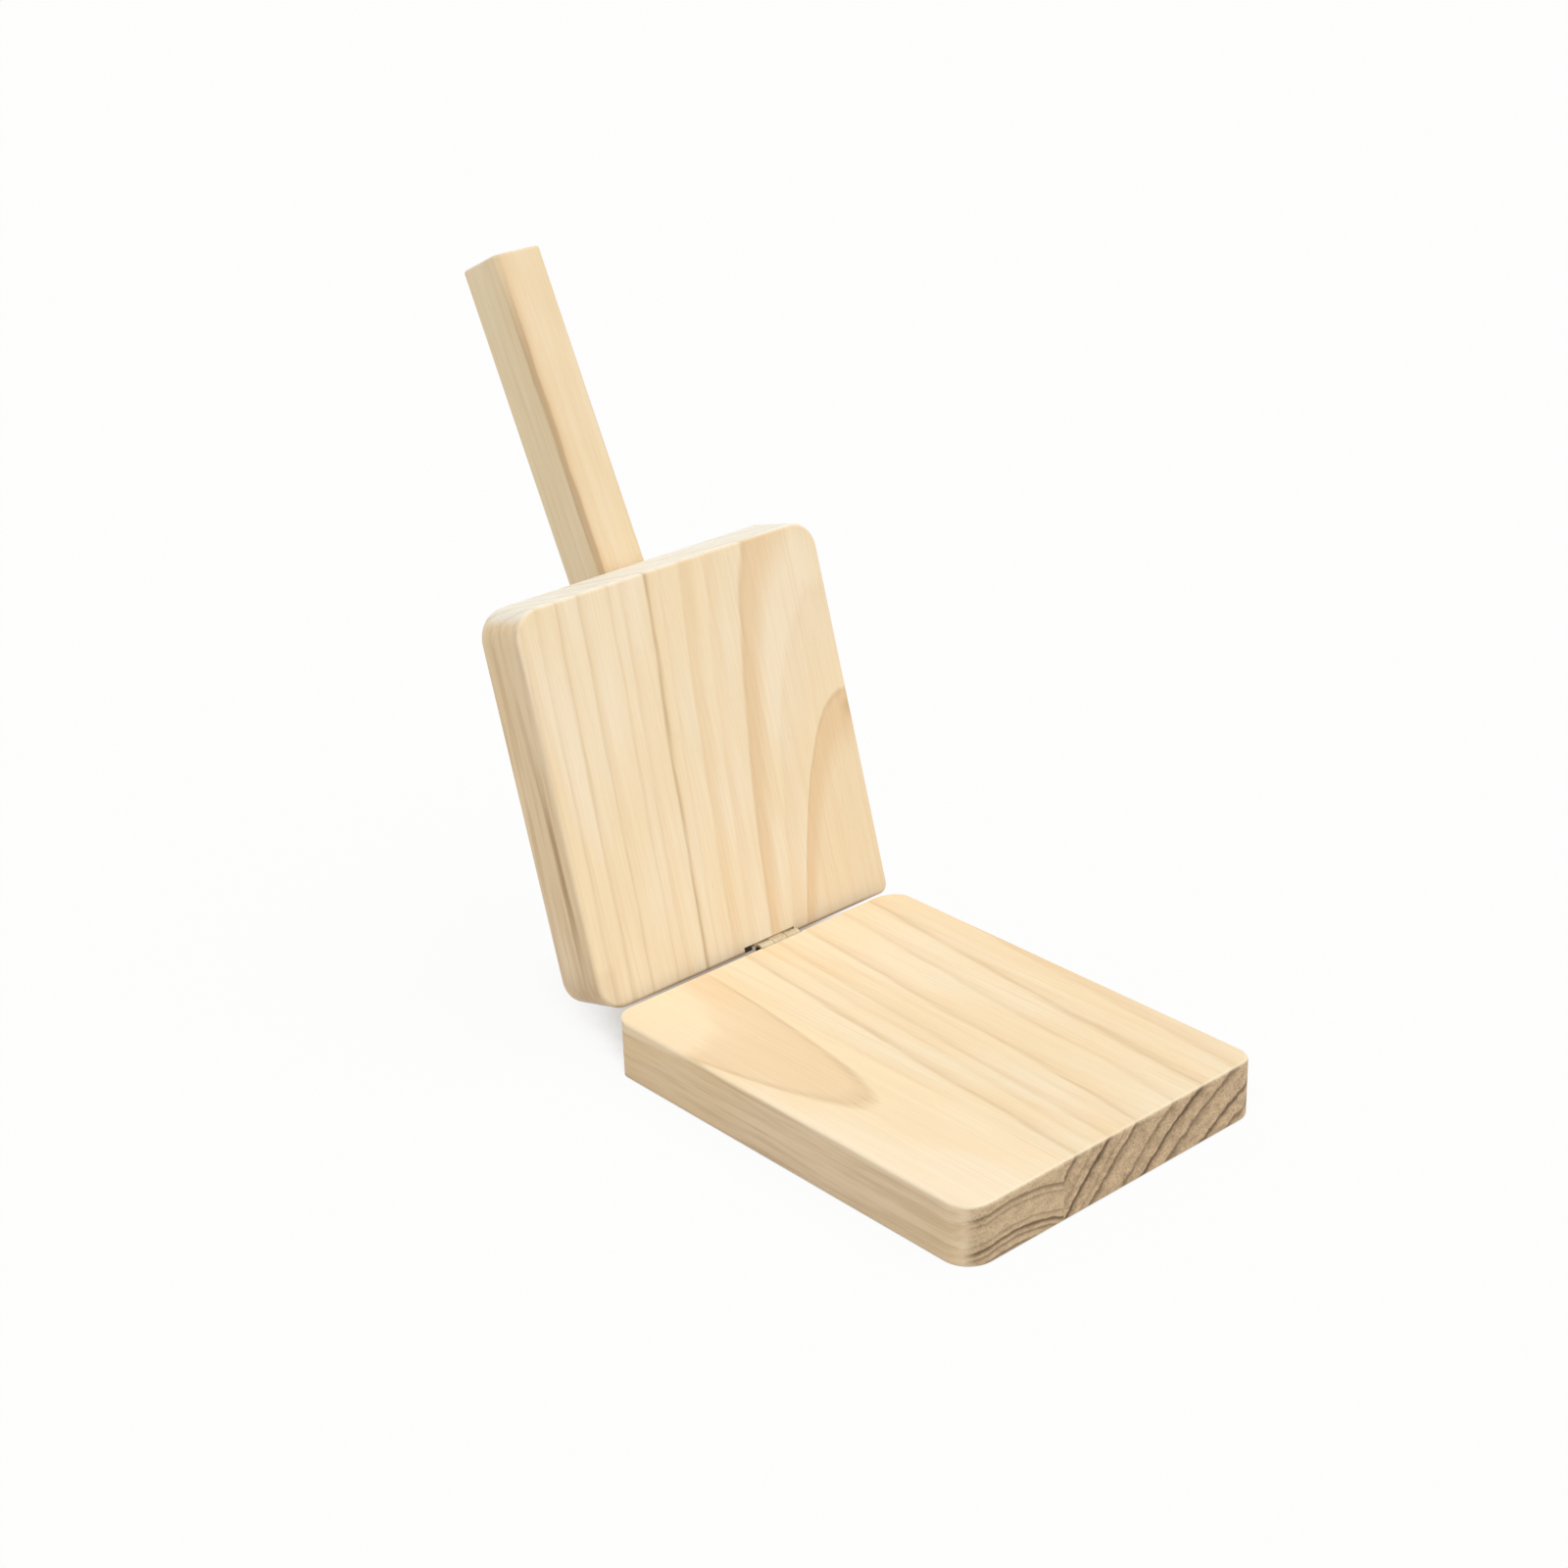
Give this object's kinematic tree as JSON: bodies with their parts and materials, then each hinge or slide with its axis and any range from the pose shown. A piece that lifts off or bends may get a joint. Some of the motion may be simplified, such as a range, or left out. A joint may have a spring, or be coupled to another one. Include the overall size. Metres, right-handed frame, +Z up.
{
  "type": "tortilla press",
  "caption": "Wooden hand press with a base board, a hinged pressing board and an inclined stick handle, shown open.",
  "frame": {"origin": "centre of the base's underside", "axes": "+X along the hinge, to the right for the user; +Y from the user towards the hinge; +Z up from the table"},
  "size_m": [0.14, 0.3201, 0.265],
  "materials": {
    "pine_base_left": "planed and sanded pine, flat-sawn",
    "pine_base_right": "planed and sanded pine, rift-sawn",
    "pine_press": "planed and sanded pine",
    "pine_handle": "planed and sanded pine",
    "hinge_steel": "zinc-plated steel",
    "screw_steel": "zinc-plated steel"
  },
  "bodies": {
    "base": {"base_stave_left": "pine_base_left", "base_stave_right": "pine_base_right", "hinge_leaf_base": "hinge_steel", "hinge_pin": "hinge_steel", "base_hinge_screws": "screw_steel"},
    "press": {"press_board": "pine_press", "handle": "pine_handle", "handle_screws": "screw_steel", "hinge_leaf_press": "hinge_steel", "press_hinge_screws": "screw_steel"}
  },
  "joints": [
    {"name": "press_hinge", "type": "hinge", "parent": "base", "child": "press", "pos_m": [0.011, 0.091, 0.02136], "axis": [1, 0, 0], "range_deg": [0, 105.4]}
  ]
}
